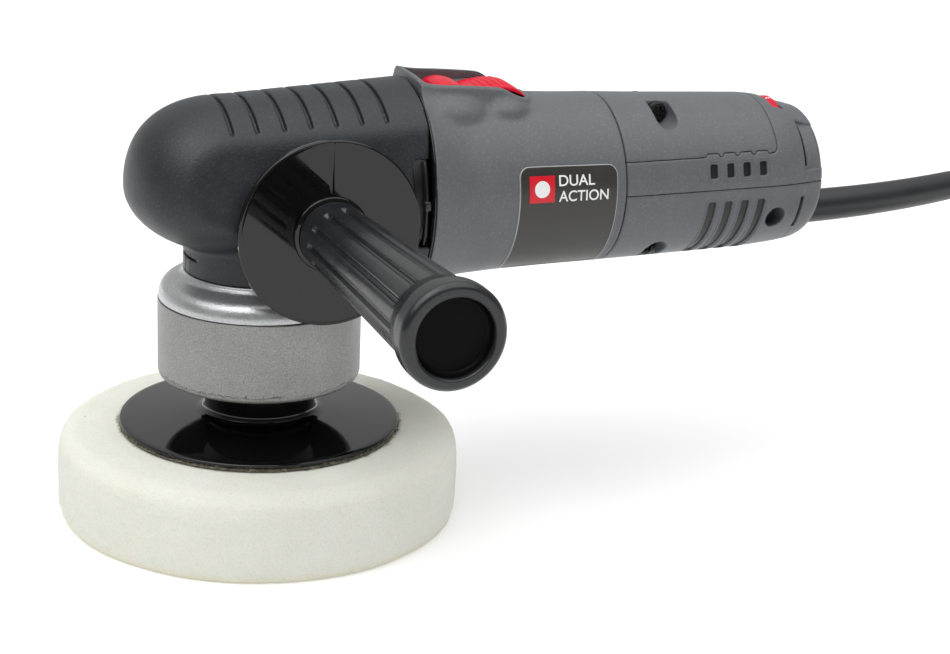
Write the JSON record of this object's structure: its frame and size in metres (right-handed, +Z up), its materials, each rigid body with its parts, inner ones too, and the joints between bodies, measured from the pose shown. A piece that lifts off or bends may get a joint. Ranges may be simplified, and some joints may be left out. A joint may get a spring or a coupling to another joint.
{
  "type": "dual action polisher",
  "caption": "Right-angle random orbital polisher with a rubber-booted head, cast shroud, foam pad, side handle, sliding switch, speed dial and mains cord.",
  "frame": {"origin": "on the drive spindle's axis, at the foam pad's working face", "axes": "+Z up the drive spindle, away from the pad's working face; +X back along the motor towards the cord; the side handle sticks out along -Y"},
  "size_m": [0.5343, 0.2523, 0.1789],
  "materials": {
    "foam": "open-cell ivory polishing foam, matte",
    "hook_fabric": "hook-and-loop fabric",
    "gloss_black": "glossy black plastic",
    "cast_metal": "painted fine-grained die casting",
    "boot_rubber": "dark blue-grey fine-grained rubber",
    "housing_plastic": "mid grey fine-grained moulded plastic",
    "grip_plastic": "dark grey satin plastic",
    "red_plastic": "red moulded plastic",
    "label_film": "dark brown-grey plate, blank",
    "steel": "machined steel",
    "screw_steel": "black oxide steel",
    "copper": "enamelled copper",
    "brass": "brass",
    "carbon": "sintered carbon",
    "black_plastic": "black moulded plastic",
    "cord_rubber": "black flexible cord jacket"
  },
  "bodies": {
    "root": {"seam_ring": "gloss_black", "shroud_skirt": "cast_metal", "bearing_cap": "cast_metal", "gear_case": "cast_metal", "head_boot": "boot_rubber", "motor_housing": "housing_plastic", "rear_top_panel": "housing_plastic", "rear_shell_upper": "housing_plastic", "rear_shell_lower": "housing_plastic", "badge_plate": "label_film", "rating_plate": "label_film", "spindle_bearing_lower": "steel", "spindle_bearing_upper": "steel", "motor_bearing_front": "steel", "motor_bearing_rear": "steel", "stator_core": "steel", "rear_screw_top_near": "screw_steel", "rear_screw_top_far": "screw_steel", "rear_screw_bottom_near": "screw_steel", "rear_screw_bottom_far": "screw_steel", "field_coil_front": "copper", "field_coil_rear": "copper", "brush_holder_near": "brass", "brush_holder_far": "brass", "plug_blade_left": "brass", "plug_blade_right": "brass", "carbon_brush_near": "carbon", "carbon_brush_far": "carbon", "motor_end_bracket": "black_plastic", "switch_body": "black_plastic", "speed_module": "black_plastic", "cord_clamp": "black_plastic", "strain_relief": "cord_rubber", "cord_lead": "cord_rubber", "cord_coil": "cord_rubber", "cord_tail": "cord_rubber", "plug_body": "cord_rubber"},
    "drive": {"counterweight": "cast_metal", "drive_spindle": "steel", "bevel_ring_gear": "steel", "pad_spindle_bearing": "steel"},
    "pad": {"foam_pad": "foam", "hook_loop_disc": "hook_fabric", "backing_plate": "gloss_black", "pad_spindle": "steel"},
    "armature": {"armature_shaft": "steel", "bevel_pinion": "steel", "armature_core": "steel", "winding_head_front": "copper", "winding_head_rear": "copper", "cooling_fan": "black_plastic", "commutator": "copper"},
    "switch": {"switch_slider": "red_plastic", "switch_link": "steel"},
    "dial": {"speed_dial": "red_plastic"},
    "side_handle": {"handle_grip": "grip_plastic", "handle_guard": "gloss_black", "handle_end_cap": "gloss_black", "handle_stud": "steel"}
  },
  "joints": [
    {"name": "drive_spin", "type": "hinge", "parent": "root", "child": "drive", "pos_m": [0, 0, 0.1], "axis": [0, 0, 1], "continuous": true},
    {"name": "pad_spin", "type": "hinge", "parent": "drive", "child": "pad", "pos_m": [0.00156, 0.00368, 0.07], "axis": [0, 0, 1], "continuous": true},
    {"name": "armature_spin", "type": "hinge", "parent": "root", "child": "armature", "pos_m": [0.1, 0, 0.133], "axis": [1, 0, 0], "continuous": true},
    {"name": "switch_slide", "type": "slide", "parent": "root", "child": "switch", "axis": [-1, 0, 0], "range_m": [0, 0.004]},
    {"name": "dial_turn", "type": "hinge", "parent": "root", "child": "dial", "pos_m": [0.227, 0, 0.1483], "axis": [1, 0, 0], "range_deg": [-140, 140]},
    {"name": "handle_unscrew", "type": "slide", "parent": "root", "child": "side_handle", "axis": [0, -1, 0], "range_m": [0, 0.03]}
  ],
  "couplings": [
    {"joint": "armature_spin", "follows": "drive_spin", "ratio": 3.7}
  ]
}
